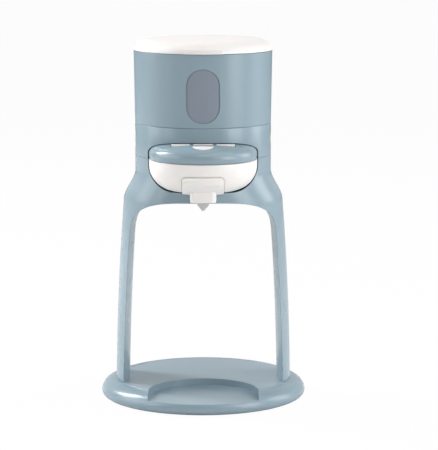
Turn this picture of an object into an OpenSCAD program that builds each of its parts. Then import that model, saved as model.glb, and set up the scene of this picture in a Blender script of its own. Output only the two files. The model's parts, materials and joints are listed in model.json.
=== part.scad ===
// Baby formula maker: a round foot, an arched frame, a head with a removable water tank,
// and a mixing drawer with a nozzle above the bottle stand.
// Millimetres. +Z up, front towards -Y, origin at the middle of the underside.

/* [Base] */
// Radius of the foot at its widest
base_r = 90; // [84:0.5:98]
// Height of the flat top of the foot above the table
plateau_z = 17; // [15:0.5:21]
// Radius of the flat top of the foot
plateau_r = 76; // [74:0.5:80]
// Height of the widest line of the foot
rim_z = 6.2; // [5:0.1:7.5]
// Gap between the table and the foot's rim
rim_lift = 1.2; // [0.8:0.1:1.6]
// Wall of the foot's moulding
base_wall = 2.4; // [2:0.1:3]
// Radius of the bottle stand sunk in the foot
stand_r = 47.5; // [40:0.5:50]
// Distance of the bottle stand's middle in front of the axis
stand_forward = 59; // [54:0.5:64]
// Height of the bottle stand's floor above the table
stand_z = 11.3; // [9:0.1:12.5]
// Radius of a rubber foot
pad_r = 7; // [5:0.5:8]
// Thickness of a rubber foot
pad_h = 1.4; // [1.3:0.1:2]
// Thickness of the ballast plate
ballast_h = 5; // [2:0.5:7]

/* [Arched frame] */
// How far the legs' outsides stand past the edge of the foot's flat top
leg_overhang = 1.1; // [0.6:0.1:2]
// Half width of the frame where the legs meet the flare
leg_top_x = 69.8; // [68:0.1:72]
// How far a leg bows out at its middle
leg_bow = 1.3; // [0:0.1:2.5]
// Thickness of a leg from outside to inside
leg_t = 12; // [10.5:0.1:13]
// How far the inside of a leg swells towards the bottle
leg_crown = 5; // [2:0.1:5.5]
// Half depth of the leg's outline ellipse at the foot
leg_foot_y = 62; // [57:0.5:66]
// Clear height of the arch above the foot
arch_h = 163; // [150:1:180]
// Height of the arch's rounded shoulders
arch_shoulder_h = 36; // [32:0.5:42]
// Squareness of the shoulders: 2 is an ellipse, more is squarer
arch_square = 3.4; // [2.8:0.1:4]
// Height from the arch to the top of the frame
yoke_h = 36.3; // [34.5:0.1:42]
// Where the flare starts, above the arch's top
flare_top = 23; // [20:0.5:26]
// Where the flare ends, below the arch's top
flare_low = 4; // [2:0.5:8]
// Thickness of the floor of the head
floor_t = 3; // [2.6:0.1:4]
// Wall of the hollow legs
leg_wall = 2.6; // [2.2:0.1:3]

/* [Head] */
// Outer radius of the head
head_r = 59.4; // [58:0.1:61]
// Wall of the head
head_wall = 2.4; // [2:0.1:3]
// Height of the head ring
ring_h = 27.7; // [26:0.1:32]
// Thickness of the deck under the tank
deck_t = 3; // [2.6:0.1:4]
// Depth of the deck's top below the ring's top
deck_drop = 1; // [0.6:0.1:1.6]
// Radius of a screw boss
boss_r = 3.2; // [2.8:0.1:3.6]
// Radius of a screw's shank
screw_r = 1.3; // [1:0.1:1.5]
// Radius of a screw's head
screw_head_r = 2.5; // [2.2:0.1:2.8]
// Height of a screw's head
screw_head_h = 1.4; // [1:0.1:1.6]

/* [Tank] */
// Height of the tank's sleeve
sleeve_h = 62.6; // [56:0.5:80]
// How much wider the sleeve is at its top
sleeve_flare = 1; // [0:0.1:1.5]
// Wall of the water container
liner_wall = 1.6; // [1.2:0.1:2]
// Height of the lid
lid_h = 9.6; // [9:0.1:12]
// Wall of the lid
lid_wall = 2; // [1.6:0.1:2.4]
// Width of the lid's rounded shoulder, seen from above
lid_edge_r = 15.4; // [8:0.1:20]
// Half width of the lid's finger tab
lid_tab_x = 16.3; // [12:0.1:20]
// Half width of the level window
window_x = 14.2; // [11:0.1:17]
// Height of the level window
window_h = 46.2; // [38:0.1:49]
// Height of the window's lower end above the sleeve's lower edge
window_up = 4; // [4:0.1:6]

/* [Drawer] */
// How much smaller the mixing bowl's radius is than the head's
bowl_inset = 12.9; // [12.4:0.1:15.4]
// Distance of the bowl's middle in front of the axis
bowl_forward = 40; // [38:0.5:42]
// Height of the bowl
bowl_h = 26.6; // [26:0.1:28]
// Radius of the bowl's rounded lower edge
bowl_edge_r = 22; // [18:0.5:24]
// Wall of the bowl
bowl_wall = 2.2; // [1.8:0.1:2.6]
// Height of the blue cap above the bowl
cap_h = 14.8; // [13.5:0.1:15.2]
// Wall of the cap
cap_wall = 2.2; // [1.8:0.1:2.6]
// Radius of the cap hinge's knuckles
knuckle_r = 1.6; // [1.5:0.05:1.9]
// Depth of the cap hinge's axis below the top of the cap
knuckle_sink = 1.6; // [1.4:0.1:1.9]
// Half width of the middle knuckle
knuckle_mid_x = 8.2; // [7:0.1:9]
// Outer end of the side knuckles
knuckle_end_x = 27; // [24:0.5:29]
// Radius of the cap hinge's pin
cap_pin_r = 0.8; // [0.6:0.05:0.9]
// Radius of the white thumb mark on the cap
thumb_r = 8.9; // [7:0.1:10]
// Gap between the nozzle and the front of the frame
nozzle_gap = 1.8; // [1.3:0.1:2.8]
// Half width of the nozzle
nozzle_x = 11.2; // [10:0.1:12]
// Half depth of the nozzle
nozzle_y = 7.8; // [7:0.1:8]
// Height of the nozzle's lower face above the arch's top
nozzle_up = 3; // [2:0.1:4]
// Length of the soft nozzle tip
tip_h = 7.6; // [6:0.1:9]
// Radius of the tip at its top
tip_r = 5.8; // [5:0.1:6.5]
// Radius of the tip where its collar ends
tip_neck_r = 4.8; // [4:0.1:5]
// Height of the tip's collar
tip_collar_h = 3; // [2:0.1:4]
// Radius of the water passage in the nozzle
nozzle_bore_r = 3.4; // [2.6:0.1:3.8]
// Half width of the clip plate on the bowl's front
clip_x = 17.8; // [14:0.1:20]
// Height of the clip plate's upper edge above the bowl's bottom
clip_up = 15.8; // [14.5:0.1:19]
// Thickness of the clip plate
clip_t = 1.4; // [1:0.1:1.8]
// Half width of the rounded finger lip across the clip plate
lip_x = 15.8; // [10:0.1:16]
// Height of the finger lip's middle above the bowl's underside
lip_up = 10.8; // [9:0.1:11.5]
// How far the finger lip stands out from the clip plate
lip_out = 1.4; // [0.8:0.1:1.8]
// Radius of the finger lip's rounding
lip_r = 5.5; // [4:0.1:6]

/* [Controls] */
// Radius of the start button
button_r = 6; // [5:0.1:6.5]
// Radius of the light ring round the button
light_ring_r = 8; // [7.6:0.1:8.6]
// Travel of the start button
button_travel = 0.8; // [0.6:0.1:1]
// Radius of the temperature selector
knob_r = 9; // [7.5:0.1:9.5]
// Height of the controls above the lower edge of the head ring
controls_up = 13.5; // [12.5:0.1:14.5]

/* [Hidden] */

// Shared clearances
seat_gap = 0.2;        // pieces of one body that drop into each other
move_gap = 0.3;        // pieces that move past each other
seam_gap = 0.4;        // visible seams between the stacked shells
drawer_gap = 0.9;      // round the bowl, in the frame and the ring
cap_gap = 0.45;        // over the blue cap, in the ring
pin_gap = 0.05;        // radial running gap of a hinge pin
cut = 0.5;             // how far a cut runs past the solid
fine = 96;             // sides of a curve
coarse = 24;           // sides of a curve in the moulded frame

// Heights
arch_z = plateau_z + arch_h;
floor_z = arch_z + floor_t;
frame_top_z = arch_z + yoke_h;
ring_top_z = frame_top_z + ring_h;
deck_top_z = ring_top_z - deck_drop;
deck_low_z = deck_top_z - deck_t;
sleeve_z = ring_top_z + seam_gap;
sleeve_top_z = sleeve_z + sleeve_h;
lid_z = sleeve_top_z + seam_gap;
lid_top_z = lid_z + lid_h;
head_in_r = head_r - head_wall;

// Places in plan
bowl_r = head_r - bowl_inset;
nozzle_forward = head_r + nozzle_gap + nozzle_y;
leg_foot_x = plateau_r + leg_overhang;

// Screws
screw_gap = 0.2;
screw_hole_r = screw_r + screw_gap;
screw_sink_r = screw_head_r + screw_gap;

module blue() { color([0.60, 0.70, 0.75]) children(); }
module white() { color([0.95, 0.94, 0.93]) children(); }
module steel() { color([0.72, 0.73, 0.75]) children(); }
module soft_grey() { color([0.72, 0.71, 0.70]) children(); }
module dark() { color([0.25, 0.27, 0.29]) children(); }
module board_green() { color([0.16, 0.38, 0.25]) children(); }

module at_each(places) { for (p = places) translate([p[0], p[1], 0]) children(); }
// A plain cylinder between two heights
module post(r, z0, z1) { translate([0, 0, z0]) cylinder(r = r, h = z1 - z0, $fn = fine); }
module tube_post(r, bore_r, z0, z1) {
  difference() {
    post(r, z0, z1);
    post(bore_r, z0 - cut, z1 + cut);
  }
}
// A box between two corners
module block(low, high) { translate(low) cube(high - low); }
// A pin along X from x0 to x1
module pin_x(r, x0, x1) {
  translate([x0, 0, 0]) rotate([0, 90, 0]) cylinder(r = r, h = x1 - x0, $fn = fine);
}
// Extrudes a front view (x, z) from y0 back to y1
module front_view(y0, y1) {
  translate([0, y1, 0]) rotate([90, 0, 0]) linear_extrude(height = y1 - y0) children();
}
function smooth(t) = let (s = min(1, max(0, t))) s * s * (3 - 2 * s);
function arc(cx, cy, r, a0, a1, n) =
  [for (i = [0:n]) let (a = a0 + (a1 - a0) * i / n) [cx + r * cos(a), cy + r * sin(a)]];
// Points on a ring round the axis, one for each angle
function ring_of(r, angles) = [for (a = angles) [r * cos(a), r * sin(a)]];

// ---------------------------------------------------------------- foot
cover_low_z = pad_h;
cover_t = 2;
cover_top_z = cover_low_z + cover_t;
rim_tuck = 6;          // how far the foot's lower edge lies inside its widest line
rim_foot_r = base_r - rim_tuck;
cover_r = rim_foot_r - base_wall;
base_boss_z = plateau_z - base_wall;
base_boss_inset = 7;
base_boss_at = ring_of(plateau_r - base_boss_inset, [38, 142, 218, 322]);
leg_screw_y = 11;
leg_screw_at = [for (x = [-1, 1], y = [-1, 1]) [x * (leg_foot_x - leg_t / 2), y * leg_screw_y]];
pad_inset = 6;
pad_at = ring_of(cover_r - pad_r - pad_inset, [20, 90, 160, 230, 310]);
stand_ceiling_z = stand_z - base_wall;

// Half outline of the hollow under the foot's skin, open below
function foot_hollow() = concat(
  [[0, 0], [cover_r, 0], [cover_r, cover_top_z + 0.6]],
  [for (i = [0:9]) let (a = 90 * i / 10) [plateau_r - base_wall + (base_r - plateau_r) * cos(a),
                                         rim_z + (plateau_z - base_wall - rim_z) * sin(a)]],
  [[plateau_r - base_wall, plateau_z - base_wall], [0, plateau_z - base_wall]]
);
// Half outline of the foot: flat top, long rounded shoulder, small rounded foot
function foot_outline() = concat(
  [[0, rim_lift], [rim_foot_r, rim_lift]],
  [for (i = [1:5]) let (a = -90 + 90 * i / 6) [rim_foot_r + (base_r - rim_foot_r) * cos(a),
                                              rim_z + (rim_z - rim_lift) * sin(a)]],
  [for (i = [0:9]) let (a = 90 * i / 10) [plateau_r + (base_r - plateau_r) * cos(a),
                                         rim_z + (plateau_z - rim_z) * sin(a)]],
  [[plateau_r, plateau_z], [0, plateau_z]]
);
// Plan of the bottle stand: half round at the back, straight out to the front
module stand_plan(grow) {
  translate([0, -stand_forward]) circle(r = stand_r + grow, $fn = fine);
  translate([-stand_r - grow, -stand_forward - base_r]) square([2 * (stand_r + grow), base_r]);
}
module base_shell() {
  blue() difference() {
    union() {
      difference() {
        rotate_extrude($fn = fine) polygon(foot_outline());
        rotate_extrude($fn = fine) polygon(foot_hollow());
      }
      intersection() {
        rotate_extrude($fn = fine) polygon(foot_outline());
        translate([0, 0, stand_ceiling_z]) linear_extrude(height = plateau_z) stand_plan(base_wall);
      }
      at_each(base_boss_at) post(boss_r + 0.6, cover_top_z, plateau_z - cut);
    }
    translate([0, 0, stand_z]) linear_extrude(height = plateau_z) stand_plan(0);
    at_each(base_boss_at) post(screw_hole_r, cover_low_z, base_boss_z - base_wall);
    at_each(leg_screw_at) post(screw_hole_r, rim_lift, plateau_z + cut);
  }
}
module base_cover() {
  dark() difference() {
    post(cover_r - seat_gap, cover_low_z, cover_top_z);
    at_each(base_boss_at) post(screw_hole_r, 0, cover_top_z + cut);
    at_each(base_boss_at) post(screw_sink_r, 0, cover_low_z + screw_head_h);
  }
}
module base_ballast() {
  steel() translate([0, 0, cover_top_z]) linear_extrude(height = ballast_h) difference() {
    circle(r = plateau_r - 14, $fn = fine);
    translate([-base_r, -2 * base_r - 4]) square([2 * base_r, 2 * base_r]);
    translate([0, -stand_forward]) circle(r = stand_r + base_wall + 2, $fn = fine);
  }
}
module base_pads() {
  dark() at_each(pad_at) post(pad_r, 0, cover_low_z);
}
module screw_up(z_head, length) {
  post(screw_head_r, z_head, z_head + screw_head_h);
  post(screw_r, z_head + screw_head_h - 0.1, z_head + length);
}
base_screw_l = 9;
module base_screws() {
  steel() at_each(base_boss_at) screw_up(cover_low_z, base_screw_l);
}
leg_screw_head_z = plateau_z - base_wall - screw_head_h;
leg_screw_l = 10;
module leg_screws() {
  steel() at_each(leg_screw_at) screw_up(leg_screw_head_z, leg_screw_l);
}

// ---------------------------------------------------------------- arched frame
flare_z0 = arch_z - flare_low;
flare_z1 = arch_z + flare_top;
knee_z = arch_z - arch_shoulder_h;
leg_fade = 32;         // the swell fades over this much below the knee

// Half width of the frame's outline at a height
function frame_x(z) =
  z >= flare_z0
    ? leg_top_x + (head_r - leg_top_x) * smooth((z - flare_z0) / (flare_z1 - flare_z0))
    : let (u = (z - plateau_z) / (flare_z0 - plateau_z))
      leg_foot_x + (leg_top_x - leg_foot_x) * u + 4 * leg_bow * u * (1 - u);
// Half depth of the frame's outline ellipse at a height
function frame_y(z) = leg_foot_y + (head_r - leg_foot_y) * smooth((z - plateau_z) / arch_h);
function leg_in_x(z) = frame_x(z) - leg_t;
function leg_swell(z) = leg_crown * (1 - smooth((z - knee_z + leg_fade) / leg_fade));
// Half depth of a leg, where its outside and its inside meet
function leg_half_y(z) = frame_y(z) * sqrt(1 - pow((leg_in_x(z) + leg_swell(z)) / frame_x(z), 2));

leg_steps = 9;
leg_side = 8;
slab_t = 0.05;         // thickness of one level of a moulded run
// Plan of the right leg: part = share of its depth, out = wall left outside, back = wall left inside
function leg_plan(z, part, out, back) = let (h = leg_half_y(z)) concat(
  [for (i = [-leg_side:leg_side]) let (y = part * h * i / leg_side)
     [frame_x(z) * sqrt(1 - pow(y / frame_y(z), 2)) - out, y]],
  [for (i = [leg_side:-1:-leg_side]) let (y = part * h * i / leg_side)
     [leg_in_x(z) + back + leg_swell(z) * pow(y / h, 2), y]]
);
module leg_slab(z, part, out, back) {
  translate([0, 0, z]) linear_extrude(height = slab_t) polygon(leg_plan(z, part, out, back));
}
// A leg, or the hollow in it, between two heights
module leg_run(z0, z1, part, out, back) {
  for (i = [0:leg_steps - 1]) hull() {
    leg_slab(z0 + (z1 - z0) * i / leg_steps, part, out, back);
    leg_slab(z0 + (z1 - z0) * (i + 1) / leg_steps, part, out, back);
  }
}
foot_solid = 8;        // solid length at a leg's foot
hollow_part = 0.7;     // share of a leg's depth that is hollow
hollow_end = 4;        // solid length between the hollow and the knee
leg_hollow_z0 = plateau_z + foot_solid;
leg_hollow_z1 = knee_z - hollow_end;
cover_back = 3.4;
// Back edge of the leg's inner cover, flat, as a run of slabs
module leg_cover_slab(z) {
  h = leg_half_y(z);
  x_back = leg_in_x(z) + cover_back;
  part = hollow_part - seat_gap / h;
  translate([0, 0, z]) linear_extrude(height = slab_t) polygon(concat(
    [[x_back, -part * h], [x_back, part * h]],
    [for (i = [leg_side:-1:-leg_side]) let (y = part * h * i / leg_side)
       [leg_in_x(z) + leg_swell(z) * pow(y / h, 2), y]]
  ));
}
module leg_cover() {
  z0 = leg_hollow_z0 + seat_gap;
  z1 = leg_hollow_z1 - seat_gap;
  blue() for (i = [0:leg_steps - 1]) hull() {
    leg_cover_slab(z0 + (z1 - z0) * i / leg_steps);
    leg_cover_slab(z0 + (z1 - z0) * (i + 1) / leg_steps);
  }
}
module leg_cover_right() { leg_cover(); }
module leg_cover_left() { mirror([1, 0, 0]) leg_cover(); }

module frame_slab(z) {
  translate([0, 0, z]) linear_extrude(height = slab_t)
    scale([frame_x(z), frame_y(z)]) circle(r = 1, $fn = 64);
}
yoke_levels = concat(
  [for (i = [0:5]) knee_z + (flare_z0 - knee_z) * i / 5],
  [for (i = [1:7]) flare_z0 + (flare_z1 - flare_z0) * i / 7],
  [frame_top_z - slab_t]
);
arch_steps = 24;
// A point of the arch's shoulder: the leg's inside, drawn in towards the top
function arch_point(a) = let (z = knee_z + arch_shoulder_h * pow(sin(a), 2 / arch_square))
  [leg_in_x(z) * pow(cos(a), 2 / arch_square), z];
module arch_opening() {
  half = leg_in_x(knee_z) / 2;
  polygon(concat(
    [[-half, knee_z - 1], [half, knee_z - 1], [half, knee_z]],
    [for (i = [0:arch_steps]) arch_point(90 * i / arch_steps)],
    [for (i = [arch_steps - 1:-1:0]) let (p = arch_point(90 * i / arch_steps)) [-p[0], p[1]]],
    [[-half, knee_z]]
  ));
}
// Front view of the drawer's way out, grown by the drawer gap
bowl_low_z = frame_top_z - bowl_h;
cap_z = frame_top_z + move_gap;
cap_mid_z = cap_z + 3;
cap_top_z = cap_z + cap_h;
knuckle_z = cap_top_z - knuckle_sink;
module drawer_way() {
  r = bowl_r + drawer_gap;
  edge = bowl_edge_r + drawer_gap;
  low = bowl_low_z - drawer_gap;
  polygon(concat(
    arc(-r + edge, low + edge, edge, 180, 270, 10),
    arc(r - edge, low + edge, edge, 270, 360, 10),
    [for (i = [12:-1:0]) cap_point(90 * i / 12)],
    [for (i = [1:12]) let (p = cap_point(90 * i / 12)) [-p[0], p[1]]]
  ));
}
// A point of the opening's upper edge, over the cap
function cap_point(a) = [
  bowl_r * pow(sin(a), 2 / 3) + cap_gap + (drawer_gap - cap_gap) * pow(sin(a), 8),
  cap_mid_z + (cap_top_z + cap_gap - cap_mid_z) * pow(cos(a), 2 / 3)
];
boss_sink = 0.15;      // how far a boss is sunk in the wall
boss_at = ring_of(head_in_r - boss_r + boss_sink, [-21.2, 46, 134, 201.2]);
deck_screw_l = 42;
service_x = 24;
service_y0 = -36;
service_y1 = 10;
service_t = 1.5;
service_rim = 5;
service_inset = 2.6;
service_screw_at = [for (x = [-1, 1], y = [service_y0 + service_inset, service_y1 - service_inset])
                    [x * (service_x - service_inset), y]];
service_boss_top_z = floor_z + 4;
service_screw_l = 6;
inlet_x = 11;
inlet_z0 = floor_z + 8;
inlet_z1 = inlet_z0 + 14;

module arch_frame() {
  blue() union() {
    difference() {
      union() {
        for (i = [0:len(yoke_levels) - 2]) hull() {
          frame_slab(yoke_levels[i]);
          frame_slab(yoke_levels[i + 1]);
        }
        for (side = [0, 1]) mirror([side, 0, 0]) leg_run(plateau_z, knee_z + 0.5, 0.97, 0, 0);
      }
      translate([0, 0, floor_z]) cylinder(r = head_in_r, h = yoke_h, $fn = 64);
      front_view(-2 * base_r, 2 * base_r) arch_opening();
      front_view(-2 * base_r, 0) drawer_way();
      for (side = [0, 1]) mirror([side, 0, 0]) {
        leg_run(leg_hollow_z0, leg_hollow_z1, hollow_part, leg_wall, -3);
      }
      block([-service_x - seat_gap, service_y0 - seat_gap, arch_z - service_rim],
            [service_x + seat_gap, service_y1 + seat_gap, arch_z + service_t]);
      block([-service_x + service_rim, service_y0 + service_rim, arch_z - service_rim],
            [service_x - service_rim, service_y1 - service_rim, floor_z + cut]);
      block([-inlet_x - seat_gap, 0, inlet_z0 - seat_gap],
            [inlet_x + seat_gap, base_r, inlet_z1 + seat_gap]);
      at_each(leg_screw_at) translate([0, 0, plateau_z - cut])
        cylinder(r = screw_hole_r, h = foot_solid - 1, $fn = coarse);
      at_each(service_screw_at) translate([0, 0, arch_z])
        cylinder(r = screw_hole_r, h = floor_t + cut, $fn = coarse);
    }
    difference() {
      intersection() {
        union() {
          at_each(boss_at) translate([0, 0, floor_z - 0.5])
            cylinder(r = boss_r, h = frame_top_z - floor_z + 0.5, $fn = coarse);
          at_each(service_screw_at) translate([0, 0, floor_z - 0.5])
            cylinder(r = screw_hole_r + 1.2, h = service_boss_top_z - floor_z + 0.5, $fn = coarse);
        }
        translate([0, 0, arch_z]) cylinder(r = head_r - 1, h = yoke_h + 1, $fn = 64);
      }
      front_view(-2 * base_r, 0) drawer_way();
      at_each(boss_at) translate([0, 0, frame_top_z - 22])
        cylinder(r = screw_hole_r, h = 30, $fn = coarse);
      at_each(service_screw_at) translate([0, 0, arch_z])
        cylinder(r = screw_hole_r, h = 20, $fn = coarse);
    }
  }
}
module service_cover() {
  blue() difference() {
    block([-service_x, service_y0, arch_z], [service_x, service_y1, arch_z + service_t]);
    at_each(service_screw_at) post(screw_hole_r, arch_z - cut, arch_z + service_t + cut);
    at_each(service_screw_at) post(screw_sink_r - 0.4, arch_z - cut, arch_z + 1);
  }
}
module service_screws() {
  steel() at_each(service_screw_at) {
    post(screw_head_r - 0.4, arch_z + 0.1, arch_z + 1);
    post(screw_r, arch_z + 0.9, arch_z + service_screw_l);
  }
}

// ---------------------------------------------------------------- head
controls_z = frame_top_z + controls_up;
control_inset = 13.1;  // the boards' inner faces, inside the head's outer radius
control_x = head_r - control_inset;
module head_ring() {
  blue() difference() {
    union() {
      tube_post(head_r, head_in_r, frame_top_z, ring_top_z);
      intersection() {
        at_each(boss_at) post(boss_r, frame_top_z, deck_low_z);
        post(head_r - 1, frame_top_z, ring_top_z);
      }
    }
    front_view(-2 * base_r, 0) drawer_way();
    at_each(boss_at) post(screw_hole_r, frame_top_z - cut, ring_top_z);
    translate([0, 0, controls_z]) pin_x(light_ring_r + seat_gap, control_x, base_r);
    translate([0, 0, controls_z]) pin_x(knob_r + move_gap, -base_r, -control_x);
  }
}
spigot_r = 3.6;
spigot_bore_r = 2;
spigot_h = 4;          // how far the spigot reaches into the tank
spigot_collar_h = 0.6;
locator_r = head_in_r - 8;
module tank_deck() {
  dark() difference() {
    union() {
      post(head_in_r - seat_gap, deck_low_z, deck_top_z);
      tube_post(locator_r, locator_r - 3, deck_top_z - 0.5, sleeve_z);
      post(spigot_r, deck_top_z - 0.5, sleeve_z + spigot_h);
      post(spigot_r + 3, deck_top_z - 0.5, deck_top_z + spigot_collar_h);
      post(tube_bore_r - 0.05, deck_low_z - 2, deck_low_z + 0.5);
    }
    post(spigot_bore_r, deck_low_z + 1, sleeve_z + spigot_h + cut);
    post(0.7, deck_low_z - 3, deck_low_z + 1.1);
    at_each(boss_at) post(screw_hole_r, deck_low_z - cut, deck_top_z + cut);
    at_each(boss_at) post(screw_sink_r, deck_top_z - screw_head_h, deck_top_z + cut);
  }
}
module deck_seal() {
  soft_grey() tube_post(spigot_r + 2.6, spigot_r + 0.1, deck_top_z + spigot_collar_h, sleeve_z - 0.1);
}
module deck_screws() {
  steel() at_each(boss_at) {
    post(screw_head_r, deck_top_z - screw_head_h, deck_top_z);
    post(screw_r, deck_top_z - deck_screw_l, deck_top_z - screw_head_h + 0.1);
  }
}

// Rails for the drawer's arms
arm_h = 4;
arm_t = 4.8;
arm_z0 = frame_top_z - arm_h - 4.3;
arm_z1 = arm_z0 + arm_h;
arm_x1 = bowl_r - seat_gap;
arm_x0 = arm_x1 - arm_t;
arm_end_gap = 1.8;     // between an arm's end and the head's wall
arm_back_y = sqrt(pow(head_in_r - arm_end_gap, 2) - pow(arm_x1, 2));
arm_front_y = -bowl_forward + 10;
rail_grip = 1.9;       // how far a rail reaches over its arm
rail_web = 4;          // from the bowl's side to the rail's outside
rail_lip_low = 4;
rail_lip_top = 3.6;
rail_x0 = arm_x1 - rail_grip;
rail_x1 = bowl_r + rail_web;
rail_y0 = boss_at[0][1] + boss_r + 0.5;
rail_y1 = sqrt(pow(head_in_r - 1.1, 2) - pow(rail_x1, 2));
module drawer_rail() {
  soft_grey() union() {
    difference() {
      block([rail_x0, rail_y0, arm_z0 - rail_lip_low], [rail_x1, rail_y1, arm_z1 + rail_lip_top]);
      block([0, rail_y0 - cut, arm_z0 - move_gap], [arm_x1 + move_gap, rail_y1 + cut, arm_z1 + move_gap]);
    }
    block([rail_x0 + 2, rail_y0 + 10, floor_z], [rail_x1, rail_y1 - 6, arm_z0 - rail_lip_low + 0.1]);
  }
}
module drawer_rail_right() { drawer_rail(); }
module drawer_rail_left() { mirror([1, 0, 0]) drawer_rail(); }

// Water path
power_board_inset = 10.5;
power_board_y = head_in_r - power_board_inset;
heater_r = 13;
heater_h = 42;
heater_x = 18;
heater_at = [-heater_x, power_board_y - heater_r - 0.5];
heater_top_z = floor_z + heater_h;
heater_fin_z = 11;     // height of the lowest groove
heater_fin_step = 4.4;
heater_fin_h = 2;
heater_fin_depth = 1.6;
pump_r = 12;
pump_h = 30;
pump_step = 8;         // height of the pump's narrower head
pump_at = [heater_x, heater_at[1]];
pump_top_z = floor_z + pump_h;
tube_r = 2;
tube_bore_r = 1.2;
tube_drop = 4;
tube_z = deck_low_z - tube_drop;
elbow = 1.5;           // an elbow is this much wider than its tube
spout_at = [0, -25];
spout_r = 8;
link_z = floor_z + 7;
module heater() {
  steel() union() {
    translate(heater_at) difference() {
      post(heater_r, floor_z, heater_top_z);
      for (i = [0:5]) translate([0, 0, floor_z + heater_fin_z + heater_fin_step * i])
        difference() {
          cylinder(r = heater_r + cut, h = heater_fin_h, $fn = fine);
          cylinder(r = heater_r - heater_fin_depth, h = heater_fin_h, $fn = fine);
        }
      post(tube_r + 0.05, heater_top_z - 5, heater_top_z + cut);
      translate([0, 0, link_z]) pin_x(tube_r + 0.05, heater_r - 5, heater_r + 5);
    }
  }
}
module thermal_switch() {
  dark() translate([heater_at[0] - 8, heater_at[1], 0]) union() {
    post(4, heater_top_z, heater_top_z + 3);
    post(2.5, heater_top_z + 2.9, heater_top_z + 6);
  }
}
module pump() {
  dark() translate(pump_at) difference() {
    union() {
      post(pump_r, floor_z, pump_top_z - pump_step);
      post(pump_r - 2, pump_top_z - pump_step - 0.1, pump_top_z);
    }
    post(tube_r + 0.05, pump_top_z - 5, pump_top_z + cut);
    translate([0, 0, link_z]) pin_x(tube_r + 0.05, -pump_r - 5, -pump_r + 5);
  }
}
// A hollow run through the given points, with round elbows
module run(points, r) {
  for (i = [0:len(points) - 2]) {
    d = points[i + 1] - points[i];
    l = norm(d);
    low = i == 0 ? 0 : r;
    high = i == len(points) - 2 ? l : l - r;
    translate(points[i]) rotate([0, acos(d[2] / l), atan2(d[1], d[0])])
      translate([0, 0, low]) cylinder(r = r, h = high - low, $fn = fine);
  }
  for (i = [1:1:len(points) - 2]) translate(points[i]) sphere(r = r * elbow, $fn = 48);
}
module hollow_run(points) {
  last = len(points) - 1;
  way_in = (points[0] - points[1]) / norm(points[0] - points[1]);
  way_out = (points[last] - points[last - 1]) / norm(points[last] - points[last - 1]);
  difference() {
    run(points, tube_r);
    run(concat([points[0] + cut * way_in], [for (i = [1:1:last - 1]) points[i]],
               [points[last] + cut * way_out]), tube_bore_r);
  }
}
module inlet_tube() {
  soft_grey() hollow_run([[0, 0, deck_low_z - 0.1], [0, 0, tube_z], [pump_at[0], pump_at[1], tube_z],
                          [pump_at[0], pump_at[1], pump_top_z - 4.9]]);
}
module pump_tube() {
  soft_grey() difference() {
    translate([0, pump_at[1], link_z])
      pin_x(tube_r, heater_at[0] + heater_r - 4.9, pump_at[0] - pump_r + 4.9);
    translate([0, pump_at[1], link_z])
      pin_x(tube_bore_r, heater_at[0] + heater_r - 6, pump_at[0] - pump_r + 6);
  }
}
spout_top_z = deck_low_z;
spout_low_z = knuckle_z + knuckle_r + 0.9;
spout_in = 4;
module outlet_tube() {
  soft_grey() hollow_run([[heater_at[0], heater_at[1], heater_top_z - 4.9],
                          [heater_at[0], heater_at[1], tube_z],
                          [heater_at[0], spout_at[1] - heater_at[0], tube_z],
                          [spout_at[0] - spout_in, spout_at[1] + spout_in, tube_z]]);
}
module water_spout() {
  white() translate(spout_at) difference() {
    post(spout_r, spout_low_z, spout_top_z);
    post(spout_r - 1.6, spout_low_z + 1, spout_top_z - 1);
    for (a = [0:45:315]) rotate([0, 0, a]) translate([4, 0, 0])
      post(0.7, spout_low_z - cut, spout_low_z + 2);
    post(0.7, spout_low_z - cut, spout_low_z + 2);
    rotate([0, 0, 135]) translate([0, 0, tube_z]) pin_x(tube_r + 0.05, 2, spout_r + 4);
  }
}

// Electrics and controls
board_t = 1.6;
power_board_x = 25;
power_board_h = 42;
power_board_top_z = floor_z + power_board_h;
board_edge = 1;        // bare edge above the tall parts
relay_x = 4;
relay_w = 8;
relay_t = 6;
relay_h = 9;
capacitor_x = 19;
capacitor_r = 4;
capacitor_l = 8;
module power_board() {
  board_green() union() {
    block([-power_board_x, power_board_y, floor_z],
          [power_board_x, power_board_y + board_t, power_board_top_z]);
    block([relay_x, power_board_y - relay_t, power_board_top_z - board_edge - relay_h],
          [relay_x + relay_w, power_board_y + 0.1, power_board_top_z - board_edge]);
    translate([capacitor_x, power_board_y + 0.1, power_board_top_z - 2 * board_edge - capacitor_r])
      rotate([90, 0, 0]) cylinder(r = capacitor_r, h = capacitor_l, $fn = fine);
  }
}
module power_inlet() {
  dark() difference() {
    intersection() {
      block([-inlet_x, power_board_y + board_t, inlet_z0], [inlet_x, base_r, inlet_z1]);
      post(head_r - 0.2, inlet_z0 - cut, inlet_z1 + cut);
    }
    hull() for (x = [-1, 1]) translate([x * 4.2, head_r - 8.2, (inlet_z0 + inlet_z1) / 2])
      rotate([-90, 0, 0]) cylinder(r = 4.4, h = 20, $fn = 32);
  }
}
board_low_z = frame_top_z + 2.4;
board_y0 = -9;
board_y1 = 20;
module control_board() {
  board_green() block([control_x, board_y0, board_low_z], [control_x + board_t, board_y1, deck_low_z]);
}
switch_t = 2.2;
switch_x = 3.1;        // half width of the switch under the button
stem_gap = 0.1;
module start_switch() {
  dark() block([control_x + board_t, -switch_x, controls_z - switch_x],
               [control_x + board_t + switch_t, switch_x, controls_z + switch_x]);
}
module selector_board() {
  board_green() block([-control_x - board_t, board_y0, board_low_z], [-control_x, board_y1, deck_low_z]);
}
selector_body_t = 4.6;
selector_body_x = 5.5;
module selector_switch() {
  dark() block([-control_x - board_t - selector_body_t, -selector_body_x, controls_z - selector_body_x],
               [-control_x - board_t, selector_body_x, controls_z + selector_body_x]);
}
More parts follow.
